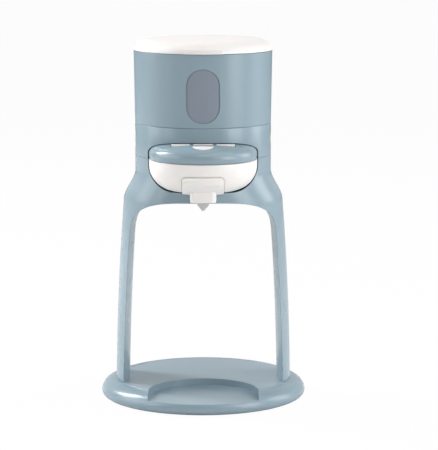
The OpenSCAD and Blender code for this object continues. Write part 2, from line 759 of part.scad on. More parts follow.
module light_ring() {
  white() difference() {
    intersection() {
      translate([0, 0, controls_z]) pin_x(light_ring_r, control_x + 5, head_r + 1);
      post(head_r + 0.1, controls_z - 20, controls_z + 20);
    }
    translate([0, 0, controls_z]) pin_x(button_r + move_gap, 0, base_r);
  }
}
module start_button() {
  white() union() {
    intersection() {
      translate([0, 0, controls_z]) pin_x(button_r, control_x + 6.6, base_r);
      post(head_r + 0.35, controls_z - 20, controls_z + 20);
    }
    translate([0, 0, controls_z])
      pin_x(1.6, control_x + board_t + switch_t + button_travel + stem_gap, control_x + 6.7);
  }
}
knob_face_x = head_r - 0.35;
knob_t = 4.4;
module selector_knob() {
  white() translate([0, 0, controls_z]) difference() {
    union() {
      pin_x(knob_r, -knob_face_x, -knob_face_x + knob_t);
      pin_x(2, -knob_face_x + knob_t - 0.1, -control_x - board_t - selector_body_t - 0.1);
    }
    for (s = [-1, 1]) intersection() {
      pin_x(knob_r - 1.6, -knob_face_x - 1, -knob_face_x + 2.4);
      block([-base_r, s > 0 ? 1.3 : -knob_r, -knob_r], [0, s > 0 ? knob_r : -1.3, knob_r]);
    }
  }
}

// ---------------------------------------------------------------- tank
sleeve_in_r = head_r - head_wall;
liner_r = sleeve_in_r - seat_gap;
ledge_t = 1.6;
liner_low_z = sleeve_z + ledge_t;
liner_top_z = sleeve_top_z - 2;
liner_floor_z = liner_low_z + 1.8;
liner_in_r = liner_r - liner_wall;
window_z0 = sleeve_z + window_up;
lid_pin_z = sleeve_top_z;
lid_knuckle_r = 2.4;
lid_pin_y = head_r + sleeve_flare + lid_knuckle_r + 0.4;
lid_pin_r = 1;
lid_pin_x = 14;
lid_mid_x = 7;
module pill(grow) {
  x = window_x + grow;
  translate([0, window_z0 + window_x]) circle(r = x, $fn = fine);
  translate([0, window_z0 + window_h - window_x]) circle(r = x, $fn = fine);
  translate([-x, window_z0 + window_x]) square([2 * x, window_h - 2 * window_x]);
}
module sleeve_solid(grow) {
  translate([0, 0, sleeve_z])
    cylinder(r1 = head_r + grow, r2 = head_r + sleeve_flare + grow, h = sleeve_h, $fn = fine);
}
module tank_sleeve() {
  blue() difference() {
    union() {
      sleeve_solid(0);
      for (s = [-1, 1]) translate([0, lid_pin_y, lid_pin_z])
        pin_x(lid_knuckle_r, s > 0 ? lid_mid_x + move_gap : -lid_pin_x,
              s > 0 ? lid_pin_x : -lid_mid_x - move_gap);
      for (s = [0, 1]) mirror([s, 0, 0])
        block([lid_mid_x + move_gap, head_r - 0.8, lid_pin_z - lid_knuckle_r - 3],
              [lid_pin_x, lid_pin_y, lid_pin_z - 0.8]);
    }
    post(sleeve_in_r, liner_low_z, sleeve_top_z + 10);
    post(locator_r - 4, sleeve_z - cut, liner_low_z + cut);
    front_view(-base_r, 0) pill(0);
    translate([0, lid_pin_y, lid_pin_z]) pin_x(lid_pin_r + 0.02, -base_r, base_r);
  }
}
module tank_liner() {
  color([0.80, 0.84, 0.88]) difference() {
    union() {
      post(liner_r, liner_low_z, liner_top_z);
      post(spigot_r + 5.4, sleeve_z + 0.2, liner_low_z + 0.5);
    }
    post(liner_in_r, liner_floor_z, liner_top_z + cut);
    post(spigot_r + 2, sleeve_z - cut, liner_floor_z + cut);
  }
}
module level_window() {
  color([0.55, 0.58, 0.62]) difference() {
    intersection() {
      sleeve_solid(-0.6);
      front_view(-base_r, 0) pill(-0.15);
    }
    post(sleeve_in_r + 0.2, sleeve_z - cut, sleeve_top_z + cut);
  }
}
module tank_valve() {
  soft_grey() difference() {
    union() {
      post(spigot_r + 1.9, sleeve_z + 0.3, liner_floor_z + 1);
      post(spigot_r + 4, liner_floor_z, liner_floor_z + 1.6);
      translate([0, 0, liner_floor_z + 1.5]) cylinder(r1 = spigot_r + 2.4, r2 = 2.4, h = 6, $fn = fine);
    }
    post(spigot_r + move_gap, sleeve_z - cut, sleeve_z + spigot_h + move_gap);
    post(1, sleeve_z, liner_floor_z + 9);
  }
}
module sleeve_hinge_pin() {
  steel() translate([0, lid_pin_y, lid_pin_z]) pin_x(lid_pin_r, -lid_pin_x + 0.3, lid_pin_x - 0.3);
}
lid_r = head_r + sleeve_flare;
plug_h = 4;
plug_t = 1.6;
plug_r = liner_in_r - 1.6;
lid_lip_h = 0.4;
// Half outline of the lid: short upright lip, wide rounded shoulder, flat top
function lid_outline(inset) = concat(
  [[0, lid_z], [lid_r - inset, lid_z]],
  [for (i = [0:14]) let (a = 90 * i / 14)
     [lid_r - lid_edge_r + (lid_edge_r - inset) * cos(a),
      lid_z + lid_lip_h + (lid_h - lid_lip_h - inset) * sin(a)]],
  [[0, lid_top_z - inset]]
);
lid_tab_r = lid_r + 1.6;
lid_tab_h = 4.6;
module tank_lid() {
  white() difference() {
    union() {
      rotate_extrude($fn = fine) polygon(lid_outline(0));
      tube_post(plug_r, plug_r - plug_t, lid_z - plug_h, lid_z + 2);
      intersection() {
        tube_post(lid_tab_r, lid_r - 3, lid_z, lid_z + lid_tab_h);
        block([-lid_tab_x, -base_r, 0], [lid_tab_x, 0, lid_top_z]);
      }
      translate([0, lid_pin_y, lid_pin_z]) pin_x(lid_knuckle_r, -lid_mid_x, lid_mid_x);
      block([-lid_mid_x, lid_r - 3, lid_z], [lid_mid_x, lid_pin_y, lid_z + 1.9]);
    }
    difference() {
      translate([0, 0, -0.01]) rotate_extrude($fn = fine) polygon(lid_outline(lid_wall));
      tube_post(plug_r, plug_r - plug_t, lid_z - plug_h, lid_top_z);
    }
    translate([0, lid_pin_y, lid_pin_z]) pin_x(lid_pin_r + pin_gap, -base_r, base_r);
  }
}
module lid_seal() {
  soft_grey() tube_post(plug_r + 1.1, plug_r, lid_z - plug_h + 0.6, lid_z - 0.6);
}

// ---------------------------------------------------------------- drawer
bowl_at = [0, -bowl_forward, 0];
split_y = head_r + 0.9;
hinge_y = split_y + 1.2;
cap_seam = 0.3;
strip_x0 = knuckle_mid_x + 0.3;
strip_x1 = knuckle_mid_x + 2.9;
// Half outline of the bowl's outside, grown by an amount
function bowl_outline(grow, top) = concat(
  [[0, bowl_low_z - grow]],
  arc(bowl_r - bowl_edge_r, bowl_low_z + bowl_edge_r, bowl_edge_r + grow, -90, 0, 10),
  [[bowl_r + grow, top], [0, top]]
);
outlet_r = nozzle_bore_r + 1.6;
module mixing_bowl() {
  white() difference() {
    translate(bowl_at) rotate_extrude($fn = fine) polygon(bowl_outline(0, frame_top_z));
    translate(bowl_at) rotate_extrude($fn = fine) polygon(bowl_outline(-bowl_wall, frame_top_z + 1));
    translate([0, -nozzle_forward, 0]) post(outlet_r, bowl_low_z - 5, bowl_low_z + 12);
  }
}
// Arm that carries the bowl in its rail
module drawer_arm() {
  white() difference() {
    block([arm_x0, arm_front_y, arm_z0], [arm_x1, arm_back_y, arm_z1]);
    translate(bowl_at) post(bowl_r, 0, ring_top_z);
  }
}
module drawer_arm_right() { drawer_arm(); }
module drawer_arm_left() { mirror([1, 0, 0]) drawer_arm(); }
module cap_solid(inset) {
  low = cap_z - (inset > 0 ? 1 : 0);
  translate(bowl_at) rotate_extrude($fn = fine) polygon(concat(
    [[0, low], [bowl_r - inset - (inset > 0 ? 0 : 1), low]],
    [for (i = [0:12]) let (a = 90 - 90 * i / 12)
       [(bowl_r - inset) * pow(sin(a), 2 / 3),
        cap_mid_z + (cap_top_z - inset - cap_mid_z) * pow(cos(a), 2 / 3)]]
  ));
}
module hinge_line() { translate([0, -hinge_y, knuckle_z]) children(); }
water_hole_r = 9.5;
module rear_cap() {
  blue() difference() {
    union() {
      cap_solid(0);
      translate(bowl_at) tube_post(bowl_r - 1, bowl_r - bowl_wall, frame_top_z, cap_z + 1);
    }
    cap_solid(cap_wall);
    block([-base_r, -2 * base_r, 0], [base_r, -hinge_y - knuckle_r, ring_top_z]);
    for (s = [0, 1]) mirror([s, 0, 0]) {
      block([strip_x1, -2 * base_r, 0], [base_r, -split_y, ring_top_z]);
      block([strip_x1, -hinge_y - knuckle_r, knuckle_z - knuckle_r - move_gap],
            [knuckle_end_x + move_gap, -hinge_y + knuckle_r + move_gap, ring_top_z]);
    }
    block([-strip_x0, -2 * base_r, 0], [strip_x0, -split_y, ring_top_z]);
    block([-strip_x0, -hinge_y - knuckle_r, knuckle_z - knuckle_r - move_gap],
          [strip_x0, -hinge_y + knuckle_r + move_gap, ring_top_z]);
    hinge_line() pin_x(cap_pin_r + 0.02, -strip_x1 - 1, strip_x1 + 1);
    translate([spout_at[0], spout_at[1], 0]) post(water_hole_r, cap_z - 1, ring_top_z);
    for (s = [0, 1]) mirror([s, 0, 0]) bracket_foot(0.05);
  }
}
// Foot of a side knuckle, let into the rear half of the cap
bracket_x0 = strip_x1 + move_gap;
bracket_t = 0.5;
bracket_l = 4;
bracket_z0 = knuckle_z - knuckle_r + bracket_t;
module bracket_foot(grow) {
  block([bracket_x0 - grow, -hinge_y, bracket_z0 - grow],
        [knuckle_end_x + grow, -hinge_y + knuckle_r + bracket_l + grow, bracket_z0 + bracket_t + grow]);
}
module hinge_bracket() {
  white() difference() {
    union() {
      for (s = [0, 1]) mirror([s, 0, 0]) {
        hinge_line() pin_x(knuckle_r, bracket_x0, knuckle_end_x);
        bracket_foot(0);
      }
    }
    hinge_line() pin_x(cap_pin_r + 0.02, -base_r, base_r);
  }
}
module cap_pin() {
  steel() hinge_line() pin_x(cap_pin_r, -knuckle_end_x + 0.2, knuckle_end_x - 0.2);
}
module front_cap() {
  blue() difference() {
    cap_solid(0);
    cap_solid(cap_wall);
    block([-base_r, -split_y - cap_seam, 0], [base_r, base_r, ring_top_z]);
    block([-knuckle_end_x - 0.6, -hinge_y - knuckle_r - 0.5, knuckle_z - knuckle_r - 0.5],
          [knuckle_end_x + 0.6, 0, ring_top_z]);
    thumb_shape(0.15, cap_z, ring_top_z);
    thumb_strap(0.15);
  }
}
thumb_back = 6.5;      // from the hinge to the straight edge of the thumb mark
thumb_y = hinge_y + knuckle_r + thumb_back;
// Half-round mark on the cap, straight edge towards the hinge
module thumb_shape(grow, z0, z1) {
  translate([0, -thumb_y, z0]) linear_extrude(height = z1 - z0) intersection() {
    circle(r = thumb_r + grow, $fn = fine);
    translate([-2 * thumb_r, -2 * thumb_r]) square([4 * thumb_r, 2 * thumb_r + grow]);
  }
}
strap_z0 = cap_top_z - cap_wall - 2.2;
module thumb_strap(grow) {
  block([-knuckle_mid_x + 1 - grow, -thumb_y - grow, strap_z0 - grow],
        [knuckle_mid_x - 1 + grow, -hinge_y + grow, strap_z0 + 1.2 + grow]);
}
module thumb_leaf() {
  white() difference() {
    union() {
      intersection() {
        cap_solid(-0.25);
        thumb_shape(0, strap_z0 - 4, ring_top_z);
      }
      thumb_strap(0);
      hinge_line() pin_x(knuckle_r, -knuckle_mid_x, knuckle_mid_x);
      block([-knuckle_mid_x + 1, -hinge_y - 0.7, strap_z0], [knuckle_mid_x - 1, -hinge_y + 0.7, knuckle_z]);
    }
    hinge_line() pin_x(cap_pin_r + pin_gap, -base_r, base_r);
  }
}

// Clip with the nozzle
nozzle_low_z = arch_z + nozzle_up;
module nozzle_body(x, y, z0, z1) {
  corner = 5;
  translate([0, -nozzle_forward, z0]) linear_extrude(height = z1 - z0) union() {
    square([2 * (x - corner), 2 * y], center = true);
    square([2 * x, 2 * (y - corner)], center = true);
    for (sx = [-1, 1], sy = [-1, 1]) translate([sx * (x - corner), sy * (y - corner)])
      circle(r = corner, $fn = fine);
  }
}
lip_turn = -asin(1 - lip_up / bowl_edge_r);
lip_reach = bowl_edge_r + clip_t + lip_out - lip_r;
module finger_lip() {
  intersection() {
    translate(bowl_at) rotate_extrude($fn = fine)
      translate([bowl_r - bowl_edge_r + lip_reach * cos(lip_turn),
                 bowl_low_z + bowl_edge_r + lip_reach * sin(lip_turn)]) circle(r = lip_r, $fn = fine);
    block([-min(lip_x, clip_x - 1), -2 * base_r, bowl_low_z],
          [min(lip_x, clip_x - 1), -nozzle_forward, bowl_low_z + clip_up]);
  }
}
module nozzle_clip() {
  white() difference() {
    union() {
      finger_lip();
      intersection() {
        translate(bowl_at) rotate_extrude($fn = fine) polygon(bowl_outline(clip_t, frame_top_z));
        block([-clip_x, -2 * base_r, bowl_low_z - 10],
              [clip_x, -nozzle_forward + nozzle_y, bowl_low_z + clip_up]);
      }
      nozzle_body(nozzle_x, nozzle_y, nozzle_low_z, bowl_low_z + 6);
    }
    translate(bowl_at) rotate_extrude($fn = fine) polygon(bowl_outline(0, ring_top_z));
    translate([0, -nozzle_forward, 0]) post(nozzle_bore_r, nozzle_low_z - cut, bowl_low_z + 10);
    translate([0, -nozzle_forward, 0]) post(tip_r - 1, nozzle_low_z - cut, nozzle_low_z + 2);
  }
}
module nozzle_tip() {
  soft_grey() translate([0, -nozzle_forward, 0]) difference() {
    union() {
      post(tip_r - 1.05, nozzle_low_z - 0.1, nozzle_low_z + 1.95);
      translate([0, 0, nozzle_low_z - tip_collar_h])
        cylinder(r1 = tip_neck_r, r2 = tip_r, h = tip_collar_h, $fn = fine);
      translate([0, 0, nozzle_low_z - tip_h])
        cylinder(r1 = 1.1, r2 = tip_neck_r, h = tip_h - tip_collar_h, $fn = fine);
    }
    translate([0, 0, nozzle_low_z - tip_h + 2])
      cylinder(r1 = 0.6, r2 = nozzle_bore_r, h = tip_h, $fn = fine);
    block([-0.15, -1.6, nozzle_low_z - tip_h - cut], [0.15, 1.6, nozzle_low_z - tip_h + 3]);
  }
}
strainer_z = bowl_low_z + bowl_wall + 1.4;
module outlet_strainer() {
  white() translate([0, -nozzle_forward, 0]) difference() {
    intersection() {
      post(outlet_r - 0.15, bowl_low_z, strainer_z + 1);
      translate([0, nozzle_forward, 0]) translate(bowl_at)
        rotate_extrude($fn = fine) polygon(bowl_outline(-seat_gap, frame_top_z));
    }
    post(outlet_r - 1.2, bowl_low_z - 1, strainer_z);
    for (a = [0:60:300]) rotate([0, 0, a]) translate([2.4, 0, 0]) post(0.7, strainer_z - 1, strainer_z + 2);
    post(0.7, strainer_z - 1, strainer_z + 2);
  }
}

base_shell();
base_cover();
base_ballast();
base_pads();
base_screws();
leg_screws();
arch_frame();
leg_cover_left();
leg_cover_right();
service_cover();
service_screws();
head_ring();
tank_deck();
deck_seal();
deck_screws();
drawer_rail_left();
drawer_rail_right();
heater();
thermal_switch();
pump();
inlet_tube();
pump_tube();
outlet_tube();
water_spout();
power_board();
power_inlet();
control_board();
start_switch();
selector_board();
selector_switch();
light_ring();
start_button();
selector_knob();
tank_sleeve();
tank_liner();
level_window();
tank_valve();
sleeve_hinge_pin();
tank_lid();
lid_seal();
mixing_bowl();
drawer_arm_left();
drawer_arm_right();
rear_cap();
hinge_bracket();
cap_pin();
nozzle_clip();
nozzle_tip();
outlet_strainer();
front_cap();
thumb_leaf();
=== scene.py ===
import json
import math

import bmesh
import bpy
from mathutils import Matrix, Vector


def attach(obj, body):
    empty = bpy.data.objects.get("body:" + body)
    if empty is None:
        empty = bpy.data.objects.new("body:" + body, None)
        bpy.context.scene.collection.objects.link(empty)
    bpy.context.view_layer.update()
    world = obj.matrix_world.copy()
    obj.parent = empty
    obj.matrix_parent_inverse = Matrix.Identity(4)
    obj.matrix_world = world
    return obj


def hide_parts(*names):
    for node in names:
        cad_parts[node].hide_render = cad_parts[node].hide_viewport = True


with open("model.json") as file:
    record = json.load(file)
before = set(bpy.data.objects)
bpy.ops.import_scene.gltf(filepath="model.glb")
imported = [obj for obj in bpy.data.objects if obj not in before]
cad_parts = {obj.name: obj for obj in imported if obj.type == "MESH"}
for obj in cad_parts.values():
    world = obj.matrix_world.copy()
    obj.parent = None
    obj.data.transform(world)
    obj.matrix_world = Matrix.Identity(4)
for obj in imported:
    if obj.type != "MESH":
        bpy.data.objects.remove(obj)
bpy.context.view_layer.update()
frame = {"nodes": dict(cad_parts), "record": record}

# ---------------------------------------------------------------- sizes, in millimetres
MM = 0.001
# Closer than this counts as the same place
NEAR = 1e-6
# Cutting shapes end at these planes, well clear of what they cut, or run past it by a margin
FRONT_FAR, SIDE_FAR, TOP_FAR, PAST = -180, 90, 260, 10

# Foot: outside, flat top, rim, recess underneath, fine line near the flat's edge, and the bottle's stand
BASE_R, PLATEAU_R, PLATEAU_Z = 90.0, 76.0, 17.0
RIM_Z, RIM_LIFT, RIM_ROUND = 6.2, 1.2, 6
RECESS_R, RECESS_Z = 81.6, 3.7
LINE_DEEP, LINE_BOTTOM, LINE_END = 0.35, 0.9, 1.2
STAND_R, STAND_FORWARD, STAND_Z = 47.5, 59.0, 11.3

# Arched frame: legs that lean and bow, and the yoke that takes up the head
HEAD_R, HEAD_IN_R = 59.4, 57.0
ARCH_Z, FLOOR_Z, FRAME_TOP_Z = 180.0, 183.0, 216.3
HIP_Z, HIP_X, FLARE_H = 176, 69.8, 27
LEG_FOOT_X, LEG_LEAN, LEG_BOW, LEG_T = 77.1, 7.3, 5.2, 12.0
LEG_DEEPER, DEEPER_TO_Z, DEEPER_FADE_H = 4.6, 110, 75
SWELL, FOOT_SWELL, SWELL_FADE_H = 4.2, 0.9, 60
FRAME_SUNK, FRAME_GAP = 0.2, 0.15
KNEE_Z, ARCH_SQUARE, ARCH_BELOW, THROAT_Y = 144.0, 3.4, 6, 28.0
ARCH_OUTER_Y, FRAME_LEVELS = (45, 60, 80), 110
COVER_Z, COVER_H, COVER_SHARE = 25, 115, 0.7
COVER_INSIDE, COVER_DEEP, COVER_GAP = 6, 3.4, 0.22
SERVICE_X, SERVICE_FRONT_Y, SERVICE_BACK_Y, SERVICE_RIM = 24.2, -36.2, 10.2, 1.5
INLET_X, INLET_UP, INLET_TOP, INLET_Y = 11.2, 7.8, 22.2, (20, 80)

# Head ring: (inset, z) along its soft upper edge, and the holes for the controls
HEAD_EDGE = ((0, 243.6), (0.1, 243.95), (0.3, 244.15), (0.6, 244.25))
HEAD_TOP_Z, HEAD_LOW_ROUND = 244.25, 0.15
CONTROL_Z, BUTTON_HOLE_R, SELECTOR_HOLE_R, CONTROL_X = 229.8, 8.2, 9.3, (40, 70)

# Lid: dome, finger tab, plug and hinge
LID_Z, LID_TOP_Z, LID_R, LID_EDGE_R, LID_STRAIGHT, LID_WALL = 307.4, 317.0, 60.4, 15.4, 0.4, 2.0
LID_PIN_Y, LID_PIN_Z, LID_PIN_BORE, LID_KNUCKLE_R = 63.2, 307.0, 1.06, 2.4
LEAF_X, LEAF_IN, LEAF_T = 7, 3, 1.9
TAB_X, TAB_BACK_R, TAB_OUT, TAB_H, TAB_ROUND = 16.6, 57, 1.6, 4.6, 1.4
PLUG_R, PLUG_BORE, PLUG_HALF_H = 53.6, 52.0, 4

# Drawer: bowl, blue cap in two halves, thumb mark
BOWL_R, BOWL_FORWARD, BOWL_EDGE_R, BOWL_WALL = 46.5, 40.0, 22.0, 2.2
BOWL_Z = FRAME_TOP_Z - 26.6
CAP_Z = FRAME_TOP_Z + 0.3
CAP_MID_Z, CAP_TOP_Z, CAP_WALL = CAP_Z + 3.0, CAP_Z + 14.8, 2.2
DOME_POWER = 2 / 3
BOWL_GAP, CAP_GAP = 0.9, 0.45
HINGE_Y, HINGE_Z, KNUCKLE_R = -61.5, CAP_TOP_Z - 1.6, 1.6
REAR_EDGE_Y, FRONT_EDGE_Y = -60.3, -60.6
STRIP_IN, STRIP_OUT, KNUCKLE_END = 8.5, 11.1, 27.3
REAR_ROOM, FRONT_ROOM = 0.3, 0.5
SLOT_IN, SLOT_END, SLOT_LONG, SLOT_LOW, SLOT_HIGH = 11.35, 27.05, 4.05, 1.15, 0.55
CAP_BORE, CAP_BORE_X, THUMB_BORE, WATER_HOLE_R, WATER_HOLE_Y = 0.82, 12.1, 0.85, 9.5, -25
CAP_RIM_R, CAP_RIM_BORE, CAP_RIM_LAP, CAP_TUCK = 45.5, 44.3, 1, 1
THUMB_R, THUMB_Y, THUMB_PROUD, THUMB_GAP = 8.9, -69.6, 0.25, 0.15
THUMB_KNUCKLE_X, THUMB_DEEP, WEB_HALF = 8.2, 4, 0.7
STRAP_X, STRAP_T, STRAP_Z = 7.2, 1.2, CAP_TOP_Z - CAP_WALL - 2.2

# Clip: plate over the bowl's front, line round it, finger lip and nozzle
NOZZLE_Y, NOZZLE_Z = -69.0, 183.0
NOZZLE_X, NOZZLE_HALF_Y, NOZZLE_END_X, NOZZLE_CORNER = 11.2, 7.8, 10.9, 4.6
NOZZLE_TAPER_H, NOZZLE_LAP = 3, 6
NOZZLE_BORE, TIP_SEAT_R, TIP_SEAT_H, OUTLET_R = 3.4, 4.8, 2, 5.0
PLATE_X, PLATE_UP, PLATE_CORNER, PLATE_T = 17.8, 15.8, 3.4, 1.4
GROOVE_WIDE, GROOVE_DEEP, GROOVE_PROUD, GROOVE_UNDER, GROOVE_BACK = 0.45, 0.9, 1.0, 0.1, 9
LIP_R, LIP_X, LIP_UP, LIP_REACH = 5.5, 15.8, 10.8, 19.3
LIP_HALF_H, LIP_CORNER, LIP_SINK = 3.7, 3.6, 0.4

# Edges sharper than this stay creased, in degrees
SHARP_ANGLE = 34


def smooth_step(t):
    t = min(1.0, max(0.0, t))
    return t * t * (3 - 2 * t)


def arc(cx, cy, rx, ry, start, end, steps):
    """Points on an ellipse's arc, in degrees."""
    points = []
    for i in range(steps + 1):
        a = math.radians(start + (end - start) * i / steps)
        points.append((cx + rx * math.cos(a), cy + ry * math.sin(a)))
    return points


def full_circle(cx, cy, r, steps):
    return arc(cx, cy, r, r, 0, 360 - 360 / steps, steps - 1)


def rounded_box(x, y, corner):
    points = []
    for sx, sy, start in ((1, 1, 0), (-1, 1, 90), (-1, -1, 180), (1, -1, 270)):
        points += arc(sx * (x - corner), sy * (y - corner), corner, corner, start, start + 90, 8)
    return points


# ---------------------------------------------------------------- mesh helpers
def make_object(name, verts, faces):
    mesh = bpy.data.meshes.new(name)
    mesh.from_pydata([Vector(v) * MM for v in verts], [], faces)
    bm = bmesh.new()
    bm.from_mesh(mesh)
    bmesh.ops.remove_doubles(bm, verts=bm.verts, dist=NEAR)
    bmesh.ops.recalc_face_normals(bm, faces=bm.faces)
    bm.to_mesh(mesh)
    bm.free()
    obj = bpy.data.objects.new(name, mesh)
    bpy.context.scene.collection.objects.link(obj)
    return obj


def loft(name, rings):
    """A closed solid through rings of equal length, with flat ends."""
    n = len(rings[0])
    verts = [p for row in rings for p in row]
    faces = []
    for k in range(len(rings) - 1):
        for i in range(n):
            j = (i + 1) % n
            faces.append((k * n + i, k * n + j, (k + 1) * n + j, (k + 1) * n + i))
    faces.append(tuple(range(n - 1, -1, -1)))
    faces.append(tuple((len(rings) - 1) * n + i for i in range(n)))
    return make_object(name, verts, faces)


def revolve(name, outline, centre=(0.0, 0.0), steps=192):
    """A closed solid of revolution. An outline that starts off the axis is closed into a ring."""
    verts, faces = [], []
    n = len(outline)
    for k in range(steps):
        a = 2 * math.pi * k / steps
        for r, z in outline:
            verts.append((centre[0] + r * math.cos(a), centre[1] + r * math.sin(a), z))
    closed = outline[0][0] > NEAR
    for k in range(steps):
        m = (k + 1) % steps
        for i in range(n if closed else n - 1):
            j = (i + 1) % n
            a, b, c, d = k * n + i, m * n + i, m * n + j, k * n + j
            if outline[i][0] < NEAR:
                faces.append((a, c, d))
            elif outline[j][0] < NEAR:
                faces.append((a, b, c))
            else:
                faces.append((a, b, c, d))
    return make_object(name, verts, faces)


def ring(name, r, bore, z0, z1, centre=(0.0, 0.0)):
    return revolve(name, [(bore, z0), (r, z0), (r, z1), (bore, z1)], centre)


def prism(name, outline, start, end, along="z"):
    """An outline drawn out along one axis: (x, y) along z, (x, z) along y, (y, z) along x."""
    place = {"z": lambda p, t: (p[0], p[1], t),
             "y": lambda p, t: (p[0], t, p[1]),
             "x": lambda p, t: (t, p[0], p[1])}[along]
    return loft(name, [[place(p, t) for p in outline] for t in (start, end)])


def block(name, low, high):
    outline = [(low[0], low[1]), (high[0], low[1]), (high[0], high[1]), (low[0], high[1])]
    return prism(name, outline, low[2], high[2])


def ahead_of(name, y, x0=-SIDE_FAR, x1=SIDE_FAR):
    """All the room in front of a plane, between two sides."""
    return block(name, (x0, FRONT_FAR, 0), (x1, y, TOP_FAR))


def round_bar(name, r, x0, x1, y, z, steps=48):
    return prism(name, full_circle(y, z, r, steps), x0, x1, "x")


def upright(name, r, x, y, z0, z1, steps=96):
    return prism(name, full_circle(x, y, r, steps), z0, z1)


def combine(obj, others, operation):
    """Cuts, joins or intersects obj with the others, which go away."""
    for other in others:
        step = obj.modifiers.new("step", "BOOLEAN")
        step.operation = operation
        step.solver = "EXACT"
        step.object = other
    bpy.context.view_layer.update()
    graph = bpy.context.evaluated_depsgraph_get()
    mesh = bpy.data.meshes.new_from_object(obj.evaluated_get(graph))
    obj.modifiers.clear()
    obj.data = mesh
    for other in others:
        bpy.data.objects.remove(other)
    return obj


def cut(obj, *others):
    return combine(obj, others, "DIFFERENCE")


def join(obj, *others):
    return combine(obj, others, "UNION")


def common(obj, *others):
    return combine(obj, others, "INTERSECT")


def copy_of(obj):
    twin = bpy.data.objects.new(obj.name, obj.data.copy())
    bpy.context.scene.collection.objects.link(twin)
    return twin


def finish_piece(obj, name, body, slot, material, *nodes):
    obj.name = obj.data.name = name
    for face in obj.data.polygons:
        face.use_smooth = True
        face.material_index = 0
    obj.data.set_sharp_from_angle(angle=math.radians(SHARP_ANGLE))
    obj.data.materials.clear()
    obj.data.materials.append(material)
    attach(obj, body)
    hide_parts(*nodes)
    return obj


# ---------------------------------------------------------------- materials
DRIFT_SCALE, DRIFT_DETAIL, DRIFT_AMOUNT = 14.0, 3.0, 0.02
GRAIN_SCALE, GRAIN_DETAIL, GRAIN_STRENGTH = 2600.0, 2.0, 0.25
SHEEN_LOW, SHEEN_HIGH = 0.92, 1.08
EDGE_ROUNDING, EDGE_SAMPLES = 0.0005, 6
COAT_ROUGHNESS, SKIN_DEPTH = 0.12, 0.002


def linear(r, g, b):
    values = [c / 255 for c in (r, g, b)]
    return [c / 12.92 if c <= 0.04045 else ((c + 0.055) / 1.055) ** 2.4 for c in values]


def plain_material(name, colour, roughness, metallic=0.0, grain=0.00002, coat=0.0,
                   see_through=0.0, stretch=(1, 1, 1), under_skin=0.0):
    """A moulded or machined surface: faint tone drift, fine grain and rounded edges."""
    material = bpy.data.materials.new(name)
    material.use_nodes = True
    nodes, links = material.node_tree.nodes, material.node_tree.links
    nodes.clear()
    out = nodes.new("ShaderNodeOutputMaterial")
    surface = nodes.new("ShaderNodeBsdfPrincipled")
    links.new(surface.outputs["BSDF"], out.inputs["Surface"])
    place = nodes.new("ShaderNodeTexCoord")
    mapping = nodes.new("ShaderNodeMapping")
    mapping.inputs["Scale"].default_value = stretch
    links.new(place.outputs["Object"], mapping.inputs["Vector"])
    drift = nodes.new("ShaderNodeTexNoise")
    drift.inputs["Scale"].default_value = DRIFT_SCALE
    drift.inputs["Detail"].default_value = DRIFT_DETAIL
    links.new(mapping.outputs["Vector"], drift.inputs["Vector"])
    tone = nodes.new("ShaderNodeMix")
    tone.data_type = "RGBA"
    links.new(drift.outputs["Fac"], tone.inputs["Factor"])
    tone.inputs["A"].default_value = [c * (1 - DRIFT_AMOUNT) for c in colour] + [1]
    tone.inputs["B"].default_value = [min(1, c * (1 + DRIFT_AMOUNT)) for c in colour] + [1]
    links.new(tone.outputs["Result"], surface.inputs["Base Color"])
    fine = nodes.new("ShaderNodeTexNoise")
    fine.inputs["Scale"].default_value = GRAIN_SCALE
    fine.inputs["Detail"].default_value = GRAIN_DETAIL
    links.new(mapping.outputs["Vector"], fine.inputs["Vector"])
    sheen = nodes.new("ShaderNodeMapRange")
    sheen.inputs["To Min"].default_value = roughness * SHEEN_LOW
    sheen.inputs["To Max"].default_value = roughness * SHEEN_HIGH
    links.new(fine.outputs["Fac"], sheen.inputs["Value"])
    links.new(sheen.outputs["Result"], surface.inputs["Roughness"])
    rounding = nodes.new("ShaderNodeBevel")
    rounding.samples = EDGE_SAMPLES
    rounding.inputs["Radius"].default_value = EDGE_ROUNDING
    bump = nodes.new("ShaderNodeBump")
    bump.inputs["Strength"].default_value = GRAIN_STRENGTH
    bump.inputs["Distance"].default_value = grain
    links.new(fine.outputs["Fac"], bump.inputs["Height"])
    links.new(rounding.outputs["Normal"], bump.inputs["Normal"])
    links.new(bump.outputs["Normal"], surface.inputs["Normal"])
    surface.inputs["Metallic"].default_value = metallic
    surface.inputs["Coat Weight"].default_value = coat
    surface.inputs["Coat Roughness"].default_value = COAT_ROUGHNESS
    surface.inputs["Transmission Weight"].default_value = see_through
    if under_skin:
        surface.inputs["Subsurface Weight"].default_value = under_skin
        surface.inputs["Subsurface Scale"].default_value = SKIN_DEPTH
    return material


blue = plain_material("blue_shell_plastic", linear(143, 164, 175), 0.26)
white = plain_material("white_satin_plastic", linear(244, 240, 237), 0.34, under_skin=0.15)
dark = plain_material("dark_moulded_plastic", linear(52, 54, 58), 0.5)
metal = plain_material("turned_steel", linear(196, 198, 202), 0.28, metallic=1.0, stretch=(1, 1, 8))
black_rubber = plain_material("black_foot_rubber", linear(40, 40, 42), 0.75, grain=0.00005)
pale_rubber = plain_material("pale_silicone", linear(196, 194, 193), 0.48, under_skin=0.2)
rail_plastic = plain_material("pale_grey_runner_plastic", linear(186, 186, 188), 0.45)
board = plain_material("green_circuit_board", linear(38, 96, 60), 0.42)
clear = plain_material("milky_clear_plastic", linear(214, 222, 228), 0.22, see_through=0.55)
smoked = plain_material("smoked_window_plastic", linear(144, 154, 166), 0.22,
                        see_through=0.12, coat=0.25)

